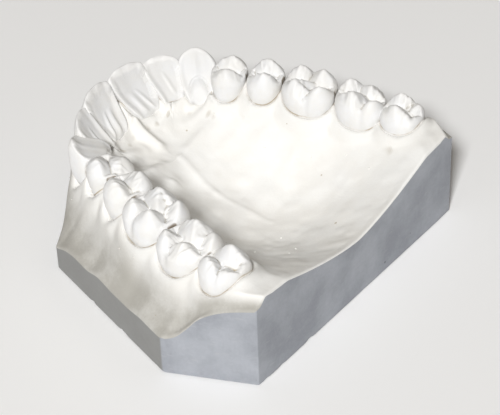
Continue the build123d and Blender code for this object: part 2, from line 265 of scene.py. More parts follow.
def frontToothField(tooth, u, v, z):
    # above 0 outside the crown, below 0 inside
    u = u - tooth["lean"] * curve([(14, 1), (17, 0.75), (21.5, 0)], z)
    halfU = curve(tooth["widths"], z)
    across = u / halfU
    cheek = curve(tooth["cheek"], z) - tooth["bow"] * u * u
    cheek = cheek + tooth.get("rib", 0) * hump(u, 1.1) * curve([(12, 0), (16, 1), (21, 1), (23, 0)], z)
    palate = curve(tooth["palate"], z) + 0.04 * u * u
    upper = curve([(13, 0), (16.5, 1), (21, 1), (23, 0.2)], z)
    cingulumAt, cingulumProud = tooth["cingulum"]
    rim = curve([(cingulumAt, 0.6), (cingulumAt + 3, 0.84), (22, 0.86)], z)
    proud = tooth["marginRidge"] * upper * (hump(np.abs(across) - rim, 0.17) - 0.6 * hump(across, 0.5))
    proud = proud + cingulumProud * hump(z - cingulumAt, 1.7) * hump(across, 0.7)
    if "boss" in tooth:
        bossAt, bossProud = tooth["boss"]
        reach = np.hypot(u / 1.5, (z - bossAt) / 2.0)
        proud = proud + bossProud * curve([(0.3, 1), (0.9, 0.75), (1.15, 0)], reach)
        upper = curve([(bossAt, 0), (bossAt + 1, 1)], z)
        proud = proud - crowns["bossGroove"] * hump(reach - 1.22, 0.14) * upper
        ridge = hump(u + 0.3, 0.7) * curve([(17.6, 0), (18.6, 1), (21, 1), (22.5, 0)], z)
        proud = proud + tooth["ridge"] * ridge
    for place, amount, tilt, width in tooth["fingers"]:
        rise = z - cingulumAt
        run = curve([(0, 0), (1.3, 1), (2.4, 0.8), (3.8, 0)], rise)
        proud = proud + amount * run * hump(u - place - tilt * rise, width)
    palate = palate - proud
    sides = np.abs(u) - halfU
    edge = (z - curve(tooth["edge"], u)) * 0.9
    field = smoothMax(v - cheek, palate - v, tooth.get("crisp", 0.4))
    field = smoothMax(field, sides, crowns["sideRound"])
    return smoothMax(smoothMax(field, edge, crowns["edgeRound"]), crowns["bottom"] - z, 0.3)


def cubeSphere(cells):
    # points and quads of a unit cube blown up to a sphere, faces outward
    index, points, faces = {}, [], []
    ticks = np.tan(np.linspace(-np.pi / 4, np.pi / 4, cells + 1))
    for axis in range(3):
        for side in (-1, 1):
            grid = np.zeros((cells + 1, cells + 1), int)
            for i in range(cells + 1):
                for j in range(cells + 1):
                    p = [0.0, 0.0, 0.0]
                    p[axis], p[(axis + 1) % 3], p[(axis + 2) % 3] = side, ticks[i], ticks[j]
                    key = tuple(round(c, 6) for c in p)
                    if key not in index:
                        index[key] = len(points)
                        points.append(p)
                    grid[i, j] = index[key]
            for i in range(cells):
                for j in range(cells):
                    quad = [grid[i, j], grid[i + 1, j], grid[i + 1, j + 1], grid[i, j + 1]]
                    faces.append([int(k) for k in (quad if side > 0 else quad[::-1])])
    points = np.array(points)
    return points / np.linalg.norm(points, axis=1)[:, None], faces


def shapeTooth(tooth, ways):
    # from the heart of the tooth, walk out along each direction to its surface
    front = "edge" in tooth
    field = frontToothField if front else backToothField
    heart = np.array([0.0, -1.2 if front else 0.0, crowns["heart"]])
    far = np.zeros(len(ways))
    found = np.zeros(len(ways), bool)
    step = crowns["step"]
    for i in range(int(crowns["reach"] / step)):
        spot = heart + ways * (far + step)[:, None]
        found |= field(tooth, spot[:, 0], spot[:, 1], spot[:, 2]) > 0
        far = np.where(found, far, far + step)
    near, out = far.copy(), far + step
    for i in range(14):
        middle = (near + out) / 2
        spot = heart + ways * middle[:, None]
        outside = field(tooth, spot[:, 0], spot[:, 1], spot[:, 2]) > 0
        out = np.where(outside, middle, out)
        near = np.where(outside, near, middle)
    return heart + ways * near[:, None]


def neckShape(tooth):
    # where the gum line cuts the crown: half width, v of the cheek side and of the palate side
    cheekZ, palateZ, mesialZ, distalZ = tooth["margin"]
    if "edge" in tooth:
        halfU = curve(tooth["widths"], (mesialZ + distalZ) / 2)
        return float(halfU), float(curve(tooth["cheek"], cheekZ)), float(curve(tooth["palate"], palateZ))
    level = np.array(tooth["levels"])
    halfU = curve(level[:, [0, 1]].tolist(), (mesialZ + distalZ) / 2)
    cheek = curve(level[:, [0, 2]].tolist(), cheekZ)
    palate = curve(level[:, [0, 3]].tolist(), palateZ)
    return float(halfU), float(cheek), -float(palate)


def neckLine(tooth, u, v):
    # distance outside the neck in plan, and the height of the gum line there:
    # high between the teeth, low at cheek and palate
    u = u - tooth.get("lean", 0) * 0.85
    cheekZ, palateZ, mesialZ, distalZ = tooth["margin"]
    halfU, cheek, palate = neckShape(tooth)
    middle = (cheek + palate) / 2
    halfV = (cheek - palate) / 2
    du, dv = np.abs(u - tooth.get("skew", 0) * v) / halfU, np.abs(v - middle) / halfV
    around = (du ** 2.2 + dv ** 2.2) ** (1 / 2.2)
    away = (around - 1) * (halfU * du + halfV * dv) / (du + dv + 1e-6)
    toCheek = 0.5 + 0.5 * np.tanh((v - middle) / 1.0)
    between = (du ** 2 / (du ** 2 + dv ** 2 + 1e-6)) ** (1.3 + (tooth.get("sharp", 1.3) - 1.3) * toCheek)
    low = palateZ + (cheekZ - palateZ) * toCheek
    high = mesialZ + (distalZ - mesialZ) * (0.5 + 0.5 * np.tanh(u / 1.0))
    return away, low + (high - low) * between


def toFrame(tooth, local):
    # from the tooth's own u, v and height to X, Y, Z
    turn = np.radians(tooth["turn"])
    out = np.array([np.cos(turn), np.sin(turn)])
    back = np.array([-out[1], out[0]])
    flat = np.array(tooth["at"]) + local[:, :1] * back + local[:, 1:2] * out
    return np.column_stack([flat, local[:, 2]])


def toTooth(tooth, x, y):
    # from X, Y to the tooth's own u, v
    turn = np.radians(tooth["turn"])
    dx, dy = x - tooth["at"][0], y - tooth["at"][1]
    return -np.sin(turn) * dx + np.cos(turn) * dy, np.cos(turn) * dx + np.sin(turn) * dy


# What differs on one side of the mouth; lowPalate: how much lower its palate side stands
oneSided = {
    ("right", "canine"): dict(
        palate=[(7, -3.0), (11.5, -4.4), (14, -4.9), (16.5, -4.9), (18.2, -4.6), (19, -3.6), (19.6, -2.0),
                (20.3, -0.2), (21.3, 1.2), (22.8, 1.9)], boss=(16.0, 0.0), ridge=0.3),
    ("right", "first_premolar"): dict(turn=-38, at=(17.1, -10.0), lowPalate=1.0),
    ("right", "second_premolar"): dict(lowPalate=0.3),
    ("left", "second_molar"): dict(turn=-14),
}


def hollows(points, faces):
    # how hollow (above 0) or proud (below 0) each point is, mm from its neighbours' mean; the finishes paint
    # shade into the hollows, and on the crowns a highlight onto the proud points
    total = np.zeros_like(points)
    count = np.zeros(len(points))
    normal = np.zeros_like(points)
    quads = np.array([f if len(f) == 4 else f + f[-1:] for f in faces])
    across = np.cross(points[quads[:, 2]] - points[quads[:, 0]], points[quads[:, 3]] - points[quads[:, 1]])
    for k in range(4):
        a, b = quads[:, k], quads[:, (k + 1) % 4]
        for c, d in ((a, b), (b, a)):
            np.add.at(total, c, points[d])
            np.add.at(count, c, 1)
        np.add.at(normal, a, across)
    normal /= np.linalg.norm(normal, axis=1)[:, None] + 1e-12
    gap = np.sum((total / count[:, None] - points) * normal, axis=1)
    for k in range(2):
        mean = np.zeros(len(points))
        for j in range(4):
            np.add.at(mean, quads[:, j], gap[quads[:, (j + 1) % 4]] + gap[quads[:, (j + 3) % 4]])
        gap = 0.5 * gap + 0.5 * mean / count
    return gap


lineOffset = 0.35  # more than the width of the brown line, so that it fades out


def palateSide(v):
    # 1 on the palate side of a front tooth, where no brown line runs round the neck
    return curve([(-3.2, 1), (-2.0, 0)], v)


teeth = {name: frontTeeth.get(name) or backTeeth[name] for name in toothNames}
ways, wayFaces = cubeSphere(crowns["cells"])
toothPieces = []
for name in toothNames:
    for side, sign in (("right", 1), ("left", -1)):
        tooth = {**teeth[name], **oneSided.get((side, name), {})}
        local = shapeTooth(tooth, ways)
        u, v, z = local.T
        wobble = softNoise(u + sign * tooth["at"][1], v, z, crowns["wobbleSize"], 11)
        local = local + ways * (wobble * crowns["wobble"])[:, None]
        u, v, z = local.T
        neck = z - neckLine(tooth, u, v)[1]  # height above the gum line
        # 1 where a neighbour touches; nothing stands behind the third molar; the crown finish paints dark
        # brown stain and shade there
        between = np.abs(u) / u.max() * curve([(0.7, 1), (1.3, 0.9)], np.abs(v - 0.3))
        if name == "third_molar":
            between = between * (u < 0)
        front = "edge" in tooth
        if front:
            neck = neck + lineOffset * palateSide(v)
        points = toFrame(tooth, local) * np.array([sign, 1, 1])
        # u, v and height are left-handed on the right side, so its faces are turned round
        faces = [f[::-1] for f in wayFaces] if sign > 0 else wayFaces
        piece = meshPiece(side + "_" + name + "_crown", points, faces)
        paint(piece, "neck", neck)
        paint(piece, "between", between)
        # painted shade, on the left front teeth only
        paint(piece, "leftFrontShade", np.full(len(local), front * (0.0 if side == "right" else 1.0)))
        paint(piece, "hollow", hollows(points, faces))
        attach(piece, "root")
        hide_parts(side + "_" + name)
        toothPieces.append(piece)
print("teeth shaped:", len(toothPieces))

# Gum and palate.
# cheekReach to palateHeight: along the arch, mm from the midline, how far the crest of the gum
# reaches to the cheek and to the palate, and how high it stands there
# trimLine: along the trimmed edge, mm from the front point, height where gum meets trimmed wall
# fanY: where the palate starts to fan out; floor: its height along the midline; climb: how late it
# climbs to the teeth
# folds and swellings: from, to, half width, height; the right and the left side differ
# lines, samples: the grid; inner, outer: points along a line before it is evened out
# collar, roll, crevice: how wide the gum hugs a neck, how high it rolls up, how deep it dips there
# roots: swelling over each root; lumps: unevenness, as height and size
gumShape = dict(
    cheekReach=[(0, 1.1), (4.1, 1.1), (11.6, 1.2), (18, 2.0), (25, 3.2), (32, 3.7), (40.5, 4.9), (50.3, 4.9),
                (59.5, 4.4), (64, 3.5), (69, 1.5)],
    cheekHeight=[(0, 15.0), (4.1, 13.8), (11.6, 14.2), (18, 12.4), (25, 14.8), (32, 15.2), (40.5, 16.2),
                 (50.3, 16.0), (59.5, 16.8), (64, 19.5), (69, 19.0)],
    palateReach=[(0, 4.6), (4.1, 5.6), (11.6, 3.8), (18, 4.8), (25, 4.3), (32, 4.4), (40.5, 5.0), (50.3, 4.8),
                 (59.5, 4.4), (64, 3.5), (69, 4.6)],
    palateHeight=[(0, 14.8), (4.1, 13.4), (11.6, 14.6), (18, 14.2), (25, 15.9), (32, 16.9), (40.5, 17.2),
                  (50.3, 17.0), (59.5, 18.3), (64, 19.3), (69, 18.4)],
    trimLine=[(0, 6.6), (3, 8.2), (8, 8.0), (13, 6.8), (18, 4.8), (22, 3.9), (25, 3.9), (28, 4.5),
              (31.04, 5.2), (34.7, 6.8), (38.1, 7.3), (41.3, 7.2), (45.5, 8.1), (47.4, 8.0), (49.5, 7.8),
              (54.2, 7.8), (59.1, 8.3), (62.1, 8.2), (65.1, 8.36), (66.5, 8.7), (67.8, 9.4), (69, 10.6),
              (70.1, 11.9), (71.4, 13.5), (73.2, 14.9), (75, 15.8), (76.7, 16.4), (78.4, 16.8),
              (80.1, 17.1), (82, 17.4)],
    fanY=-9.0,
    floor=[(-9, 11.4), (-8.4, 11.3), (-6.6, 10.3), (-5, 9.45), (-2.7, 8.4), (-0.4, 7.7), (2, 7.2), (4.3, 6.9),
           (7.3, 6.5), (10.5, 6.2), (14.6, 6.7), (19.1, 7.8), (26, 10.6), (32, 13.2)],
    climb=[(-10, 2.0), (5, 2.3), (18, 2.1), (32, 1.5)],
    bothFolds=[((0.0, -22.0), (0.0, -19.5), 1.7, 1.5), ((0.0, -19.5), (0.0, -13.5), 1.2, 1.2),
               ((-0.5, -9), (0.3, 0), 0.7, 0.22), ((0.3, 0), (-0.6, 12), 0.6, 0.16)],
    leftFolds=[((-11, -17.5), (-12.2, -13.8), 1.1, 0.5), ((-7, -13), (-12.4, -11.5), 1.2, 0.55),
               ((-12.4, -11.5), (-17.2, -8.7), 1.0, 0.4), ((-7, -4.8), (-11.5, -3.6), 1.2, 0.4),
               ((-2.6, -15.5), (-8.5, -16.0), 1.1, 0.5), ((-3, -9.5), (-8.5, -8.6), 1.1, 0.4),
               ((-9.8, -0.2), (-13.5, 0.6), 1.4, 0.3)],
    rightFolds=[((11, -16.8), (12.4, -13.2), 1.1, 0.5), ((6.4, -13.4), (12.2, -11.0), 1.2, 0.55),
                ((12.2, -11.0), (15.6, -8.2), 1.0, 0.4), ((4.6, -5.6), (6.4, -4.8), 1.4, 0.9),
                ((8.4, -4.2), (11.4, -2.8), 1.2, 0.5), ((2.6, -15.0), (8.4, -15.6), 1.1, 0.5),
                ((3.2, -9.9), (8.2, -9.3), 1.1, 0.6), ((4.5, 1.5), (8.5, 2.5), 1.6, 0.35)],
    cheekFolds=[((22.9, -6.8), (26.8, -3.0), 0.8, 0.5), ((26.5, 1.2), (29.6, 4.4), 2.4, 1.1),
                ((0.6, -28.2), (0.4, -30.6), 0.8, 0.5), ((30.2, 9.5), (31.6, 14.5), 2.4, 0.6),
                ((24.6, -4.4), (27.4, -1.2), 0.5, 0.35)],
    lines=212, samples=172, inner=300, outer=200, wallRows=8, collar=0.9, roll=0.3, crevice=0.35,
    roots=0.8, canineRoot=1.1, lumps=[(0.22, 4.5), (0.07, 1.6)],
    cornerRound=0.5, edgeRound=0.45, seam=3.0,
)
rootPlaces = (4.1, 11.6, 18, 25, 32, 40.5, 50.3, 59.5)  # along the arch, mm from the midline

# the trimmed outline comes from the CAD base: its right half, from the front point round to the back
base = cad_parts["base"]
footprint = {(round(p.x / millimetre, 2), round(p.y / millimetre, 2))
             for p in (base.matrix_world @ v.co for v in base.data.vertices) if p.z < 0.05 * millimetre}
planCorners = sorted([p for p in footprint if p[0] > -0.01], key=lambda p: p[1])
planCorners = np.array(planCorners[:4])
cornerAt = np.concatenate([[0], np.cumsum(np.hypot(*np.diff(planCorners, axis=0).T))])


def perimeter(q):
    # point of the trimmed outline at q mm from the front point, corners slightly rounded
    q = np.asarray(q, float)
    r = gumShape["cornerRound"]
    x = np.interp(q, cornerAt, planCorners[:, 0])
    y = np.interp(q, cornerAt, planCorners[:, 1])
    spots = np.stack([x, y], -1)
    after = planCorners[-1] * [1, 1] - [2 * r, 0]
    chain = np.vstack([planCorners[1] * [-1, 1], planCorners, after])
    for k in range(len(planCorners)):
        here, before, beyond = chain[k + 1], chain[k], chain[k + 2]
        t = np.clip((q - cornerAt[k] + r) / (2 * r), 0, 1)[..., None]
        start = here + (before - here) * r / np.linalg.norm(before - here)
        end = here + (beyond - here) * r / np.linalg.norm(beyond - here)
        bent = (1 - t) ** 2 * start + 2 * t * (1 - t) * here + t * t * end
        spots = np.where(np.abs(q - cornerAt[k])[..., None] < r, bent, spots)
    return spots


def archCurve(count):
    # distances and points of a smooth line through the crown centres, from the midline to the back face
    knots = [(0, -25.0)] + [teeth[name]["at"] for name in toothNames] + [(25.6, 28.2), (24.7, 32)]
    knots = np.array([(-knots[1][0], knots[1][1])] + knots + [(23.4, 36)], float)
    spots = []
    for a, b, c, d in zip(knots, knots[1:], knots[2:], knots[3:]):
        for t in np.linspace(0, 1, 60, endpoint=False):
            spots.append(0.5 * (2 * b + (c - a) * t + (2 * a - 5 * b + 4 * c - d) * t * t
                                + (3 * b - a - 3 * c + d) * t ** 3))
    spots = np.array(spots + [knots[-2]])
    length = np.concatenate([[0], np.cumsum(np.hypot(*np.diff(spots, axis=0).T))])
    s = np.linspace(0, length[-1], count)
    return s, np.column_stack([np.interp(s, length, spots[:, 0]), np.interp(s, length, spots[:, 1])])


def inwards(x, y):
    # distance inside the trimmed outline, for the right half
    gap = planCorners[-1, 1] - y
    for a, b in zip(planCorners, planCorners[1:]):
        away = b - a
        normal = np.array([away[1], -away[0]]) / np.linalg.norm(away)
        gap = np.minimum(gap, (a[0] - x) * normal[0] + (a[1] - y) * normal[1])
    return gap


def smoothAlong(values, sigma, axis):
    # running average along one axis of a table, sigma in rows or columns
    reach = int(3 * sigma)
    weights = np.exp(-0.5 * (np.arange(-reach, reach + 1) / sigma) ** 2)
    weights /= weights.sum()
    padded = np.pad(values, [(reach, reach) if k == axis else (0, 0) for k in range(2)], mode="edge")
    size = values.shape[axis]
    total = np.zeros_like(values)
    for k, w in enumerate(weights):
        total += w * np.take(padded, np.arange(k, k + size), axis=axis)
    return total


def gumLines():
    # one line per station: from the foot on the midline out over the arch to the trimmed edge
    archS, archXY = archCurve(700)
    q = np.linspace(0, cornerAt[-1] - 0.5, gumShape["lines"] - 4)
    q = np.concatenate([q, cornerAt[-1] - np.array([0.36, 0.22, 0.1, 0])])
    edge = perimeter(q)
    nearest = archS[np.argmin(np.hypot(edge[:, None, 0] - archXY[None, :, 0],
                                       edge[:, None, 1] - archXY[None, :, 1]), axis=1)]
    even = q / q[-1] * archS[-1]
    s = np.maximum.accumulate(0.8 * nearest + 0.2 * even)
    s = smoothAlong(s[:, None], 5, 0)[:, 0]
    s = (s - s[0]) / (s[-1] - s[0]) * archS[-1]
    over = np.column_stack([np.interp(s, archS, archXY[:, 0]), np.interp(s, archS, archXY[:, 1])])
    over[-5:, 1] = planCorners[-1, 1] - np.array([0.45, 0.28, 0.14, 0.05, 0])
    foot = np.column_stack([np.zeros(len(s)), np.maximum(over[:, 1], gumShape["fanY"])])
    return q, s, foot, over, edge


def baseHeight(q, s, foot, over, edge):
    # height of the gum before the teeth press their collars into it, on dense points along each line
    inner, outer = gumShape["inner"], gumShape["outer"]
    t = np.linspace(0, 1, inner)[None, :, None]
    inside = foot[:, None] + (over - foot)[:, None] * t
    t = np.linspace(0, 1, outer + 1)[None, 1:, None]
    outside = over[:, None] + (edge - over)[:, None] * t
    plan = np.concatenate([inside, outside], axis=1)
    column = s[:, None]
    cheekReach, cheekHeight, palateReach, palateHeight = (
        curve(gumShape[k], column) for k in ("cheekReach", "cheekHeight", "palateReach", "palateHeight"))
    fromFoot = np.hypot(plan[..., 0] - foot[:, None, 0], plan[..., 1] - foot[:, None, 1])
    span = np.hypot(*(over - foot).T)[:, None]
    out = np.hypot(*(edge - over).T)[:, None]
    fromArch = np.where(np.arange(inner + outer)[None] < inner, fromFoot - span,
                        np.hypot(plan[..., 0] - over[:, None, 0], plan[..., 1] - over[:, None, 1]))
    floor = curve(gumShape["floor"], foot[:, None, 1])
    climb = curve(gumShape["climb"], foot[:, None, 1])
    up = np.clip(fromFoot / (span - palateReach), 0, 1)
    palate = floor + (palateHeight - floor) * up ** climb
    share = np.clip((fromArch + palateReach) / (palateReach + cheekReach), 0, 1)
    band = palateHeight + (cheekHeight - palateHeight) * share
    down = np.clip((fromArch - cheekReach) / (out - cheekReach), 0, 1)
    front = (1 - down ** 3) ** 0.9
    back = curve([(0, 1), (0.24, 0.75), (0.5, 0.35), (0.76, 0.1), (1, 0)], down)
    mix = curve([(17, 0), (23, 1)], column)
    low = curve(gumShape["trimLine"], q)[:, None]
    slope = low + (cheekHeight - low) * (front + (back - front) * mix)
    roots = np.zeros_like(column)
    for name, at in zip(toothNames, rootPlaces):
        roots = roots + gumShape["canineRoot" if name == "canine" else "roots"] * hump(column - at, 2.2)
    slope = slope + (roots - 0.3) * np.sin(np.pi * np.clip(down, 0, 1) ** 0.8) * (1 - 0.5 * down)
    height = np.where(fromArch < -palateReach, palate, np.where(fromArch < cheekReach, band, slope))
    blended = smoothAlong(smoothAlong(height, 6, 1), 1.5, 0)
    height = np.where(down > 0.93, height, blended)
    height[0] = blended[0]
    return plan, height, down


def gumHeight(side, plan, height, down):
    # folds, collars round the necks and the rounded trimmed edge, for one side
    x, y = plan[..., 0], plan[..., 1]
    z = height.copy()
    for a, b, width, rise in gumShape["bothFolds"]:
        z = z + rise * hump(lineDistance(side * x, y, a, b)[0], width)
    for a, b, width, rise in gumShape["rightFolds" if side > 0 else "leftFolds"]:
        away, share = lineDistance(side * x, y, a, b)
        z = z + rise * hump(away, width) * (0.55 + 0.45 * np.sin(np.pi * np.clip(share, 0.1, 0.9)))
    for a, b, width, rise in gumShape["cheekFolds"]:
        z = z + rise * hump(lineDistance(x, y, a, b)[0], width) * (1 - down ** 4)
    calm = np.clip(inwards(x, y) / 1.5, 0, 1)
    (coarse, coarseSize), (fine, fineSize) = gumShape["lumps"]
    lumps = coarse * softNoise(side * x, y, 0 * x, coarseSize, 3)
    z = z + calm * (lumps + fine * softNoise(side * x, y, 0 * x, fineSize, 4))
    pull, total, closest = np.zeros_like(z), np.zeros_like(z), np.full_like(z, 9.0)
    sink = np.zeros_like(z)
    for name in toothNames:
        tooth = teeth[name]
        u, v = toTooth(tooth, x, y)
        away, line = neckLine(tooth, u, v)
        weight = 20 * np.exp(-(np.maximum(away, 0) / gumShape["collar"]) ** 2)
        line = line + gumShape["roll"] * hump(away - 0.75, 0.4) - gumShape["crevice"] * hump(away, 0.22)
        pull += weight * line
        total += weight
        sink = np.maximum(sink, np.clip(-away - 0.15, 0, 1.6) * 2.2)
        plain = lineOffset * palateSide(v) if "edge" in tooth else 0
        closest = np.minimum(closest, np.abs(away) + plain)
    z = (z + pull) / (1 + total) - sink
    inset = np.clip(gumShape["edgeRound"] - inwards(x, y), 0, gumShape["edgeRound"])
    z = z - (gumShape["edgeRound"] - np.sqrt(gumShape["edgeRound"] ** 2 - inset ** 2))
    return z, closest


def resample(plan, z, near, down, count):
    # the same number of evenly spaced points on every line, closer together near the trimmed edge
    lines = []
    for line, heights, gap, slide in zip(plan, z, near, down):
        step = np.hypot(np.hypot(*np.diff(line, axis=0).T), np.diff(heights))
        length = np.concatenate([[0], np.cumsum(step)])
        at = np.linspace(0, length[-1] - 0.6, count - 6)
        at = np.concatenate([at, length[-1] - np.array([0.45, 0.33, 0.22, 0.12, 0.05, 0.0])])
        lines.append(np.column_stack([np.interp(at, length, line[:, 0]), np.interp(at, length, line[:, 1]),
                                      np.interp(at, length, heights), np.interp(at, length, gap),
                                      np.interp(at, length, slide)]))
    return np.array(lines)


q, s, foot, over, edge = gumLines()
plan, height, down = baseHeight(q, s, foot, over, edge)
halves = {}
for side in (1, -1):
    z, near = gumHeight(side, plan, height, down)
    halves[side] = resample(plan, z, near, down, gumShape["samples"])
    halves[side][..., 0] *= side
halves[-1][0] = halves[1][0]
halves[-1][:, 0] = halves[1][:, 0]
# both halves become one mesh: they share the midline, and lines in front of the fan share their foot
fan = int(np.sum(foot[:, 1] <= gumShape["fanY"] + 1e-6))
lines, samples = gumShape["lines"], gumShape["samples"]
index = {1: np.zeros((lines, samples), int), -1: np.zeros((lines, samples), int)}
gumPoints, gumNear, gumCheek = [], [], []
for side in (1, -1):
    for i in range(lines):
        for j in range(samples):
            if j == 0 and 0 < i < fan:
                index[side][i, j] = index[side][0, 0]
            elif side < 0 and (i == 0 or j == 0):
                index[side][i, j] = index[1][i, j]
            else:
                index[side][i, j] = len(gumPoints)
                gumPoints.append(halves[side][i, j, :3])
                gumNear.append(halves[side][i, j, 3])
                gumCheek.append(halves[side][i, j, 4])
gumFaces = []
for side in (1, -1):
    grid = index[side]
    for i in range(lines - 1):
        for j in range(samples - 1):
            quad = [grid[i, j], grid[i, j + 1], grid[i + 1, j + 1], grid[i + 1, j]]
            quad = [int(k) for n, k in enumerate(quad) if k not in quad[:n]]
            gumFaces.append(quad if side > 0 else quad[::-1])
surfaceFaces = len(gumFaces)
# the rim runs anticlockwise from the front point, seen from above
rim = [int(k) for k in index[1][:, -1]]
rim += [int(k) for k in index[1][-1, -2::-1]]
rim += [int(k) for k in index[-1][-1, 1:]]
rim += [int(k) for k in index[-1][-2:0:-1, -1]]


def sideWall(points):
    # 1 on the two long side faces, 0 on the others, where the trimmed finish paints shade
    x, y = np.abs(np.array(points)[:, 0]), np.array(points)[:, 1]
    a, b = planCorners[1], planCorners[2]
    away = (b - a) / np.linalg.norm(b - a)
    gap = np.abs((x - a[0]) * away[1] - (y - a[1]) * away[0])
    return ((gap < 0.3) & (y > a[1] - 0.1) & (y < b[1] - 0.3)).astype(float)


def cap(points, faces, ring, z, up):
    # close a ring with a fan of triangles, facing up or down
    centre = len(points)
    points.append(np.array([0.0, 5.0, z]))
    for n in range(len(ring)):
        m = (n + 1) % len(ring)
        faces.append([centre, ring[n], ring[m]] if up else [centre, ring[m], ring[n]])


def wallDown(points, faces, ring, below):
    # one row of wall from a ring to the same number of points below it; returns the new ring
    first = len(points)
    points.extend(below)
    lower = list(range(first, first + len(ring)))
    for n in range(len(ring)):
        m = (n + 1) % len(ring)
        faces.append([ring[n], lower[n], lower[m], ring[m]])
    return lower


wallRows = gumShape["wallRows"]
rimHeights = [gumPoints[k][2] for k in rim]
lastRing = rim
for row in range(1, wallRows + 1):
    heights = [h + (gumShape["seam"] - h) * row / wallRows for h in rimHeights]
    lastRing = wallDown(gumPoints, gumFaces, lastRing, [
        np.array([gumPoints[k][0], gumPoints[k][1], z]) for k, z in zip(rim, heights)])
cap(gumPoints, gumFaces, lastRing, gumShape["seam"], False)
gumNear += [9.0] * (len(gumPoints) - len(gumNear))
gum = meshPiece("gum_and_palate_surface", np.array(gumPoints), gumFaces)
paint(gum, "crease", gumNear)
paint(gum, "hollow", hollows(np.array(gumPoints), gumFaces))
paint(gum, "cheekSide", gumCheek + [0.0] * (len(gumPoints) - len(gumCheek)))
paint(gum, "sideWall", sideWall(gumPoints))
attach(gum, "root")
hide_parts("gum_and_palate")
print("gum shaped:", len(gumFaces), "faces")


# Base: chips knocked out of its bottom edge, and rows of wall as height and share of a chip's depth
plinth = dict(chips=26, chipDepth=0.35, edge=0.12, seed=5,
              rows=[(2.0, 0), (1.2, 0), (0.8, 0), (0.5, 0.15), (0.3, 0.45), (0.12, 0.8), (0.0, 1.0)])
ringPlan = np.array([gumPoints[k][:2] for k in lastRing])
walk = np.concatenate([[0], np.cumsum(np.hypot(*np.diff(ringPlan, axis=0).T))])
rng = np.random.default_rng(plinth["seed"])
chipped = np.zeros(len(ringPlan))
for k in range(plinth["chips"]):
    at, wide = rng.random() * walk[-1], 0.2 + 0.6 * rng.random()
    chipped += plinth["chipDepth"] * rng.random() ** 1.5 * hump(walk - at, wide)
outwards = ringPlan - np.array([0, 5.0])
outwards /= np.linalg.norm(outwards, axis=1)[:, None]
basePoints = [np.array([x, y, gumShape["seam"]]) for x, y in ringPlan]
baseFaces = []
ring = list(range(len(basePoints)))
cap(basePoints, baseFaces, ring, gumShape["seam"], True)
for z, inset in plinth["rows"]:
    pushed = ringPlan - outwards * (chipped * inset + plinth["edge"] * max(0, 1 - z / 0.13))[:, None]
    ring = wallDown(basePoints, baseFaces, ring, [np.array([x, y, z]) for x, y in pushed])
cap(basePoints, baseFaces, ring, 0.0, False)
plate = meshPiece("base_plate", np.array(basePoints), baseFaces)
paint(plate, "sideWall", sideWall(basePoints))
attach(plate, "root")
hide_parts("base")
print("base shaped:", len(baseFaces), "faces")


def newGroup(name, inputs, outputs):
    # a shader node group whose sockets are all numbers
    tree = bpy.data.node_groups.new(name, "ShaderNodeTree")
    for label, value in inputs:
        socket = tree.interface.new_socket(name=label, in_out="INPUT", socket_type="NodeSocketFloat")
        socket.default_value = value
    for label in outputs:
        tree.interface.new_socket(name=label, in_out="OUTPUT", socket_type="NodeSocketFloat")
    return tree, tree.nodes.new("NodeGroupInput"), tree.nodes.new("NodeGroupOutput")


def addMath(tree, operation, a, b, clamp=False):
    node = tree.nodes.new("ShaderNodeMath")
    node.operation, node.use_clamp = operation, clamp
    for socket, value in ((node.inputs[0], a), (node.inputs[1], b)):
        if isinstance(value, (int, float)):
            socket.default_value = value
        else:
            tree.links.new(value, socket)
    return node.outputs[0]


def addRamp(tree, value, low, high, start=0.0, end=1.0):
    node = tree.nodes.new("ShaderNodeMapRange")
    node.interpolation_type = "SMOOTHSTEP"
    tree.links.new(value, node.inputs["Value"])
    for label, number in (("From Min", low), ("From Max", high), ("To Min", start), ("To Max", end)):
        if isinstance(number, (int, float)):
            node.inputs[label].default_value = number
        else:
            tree.links.new(number, node.inputs[label])
    return node.outputs["Result"]


def addNoise(tree, vector, scale, detail, roughness=0.5):
    node = tree.nodes.new("ShaderNodeTexNoise")
    node.inputs["Detail"].default_value = detail
    node.inputs["Roughness"].default_value = roughness
    if isinstance(scale, (int, float)):
        node.inputs["Scale"].default_value = scale
    else:
        tree.links.new(scale, node.inputs["Scale"])
    tree.links.new(vector, node.inputs["Vector"])
    return node.outputs["Fac"]


def objectSpot(tree, stretch=(1, 1, 1)):
    # place on the object, in metres
    place = tree.nodes.new("ShaderNodeTexCoord").outputs["Object"]
    mapping = tree.nodes.new("ShaderNodeMapping")
    mapping.inputs["Scale"].default_value = stretch
    tree.links.new(place, mapping.inputs["Vector"])
    return mapping.outputs["Vector"]


def makePlasterSkin():
    # cloudy tone and the fine grain of set plaster; scales count per metre
    tree, source, target = newGroup(
        "plasterSkin", [("Cloud Scale", 130), ("Grain Scale", 2600), ("Grain", 0.5)], ["Tone", "Height"])
    spot = objectSpot(tree)
    cloud = addNoise(tree, spot, source.outputs["Cloud Scale"], 5, 0.62)
    grain = addNoise(tree, spot, source.outputs["Grain Scale"], 3, 0.6)
    lumps = addNoise(tree, spot, 700, 3, 0.5)
    speckle = addMath(tree, "MULTIPLY", addMath(tree, "SUBTRACT", grain, 0.5), 0.5)
    tone = addMath(tree, "ADD", addRamp(tree, cloud, 0.3, 0.7), speckle, clamp=True)
    height = addMath(tree, "ADD", addMath(tree, "MULTIPLY", grain, source.outputs["Grain"]),
                     addMath(tree, "MULTIPLY", lumps, 0.6))
    tree.links.new(tone, target.inputs["Tone"])
    tree.links.new(height, target.inputs["Height"])
    return tree


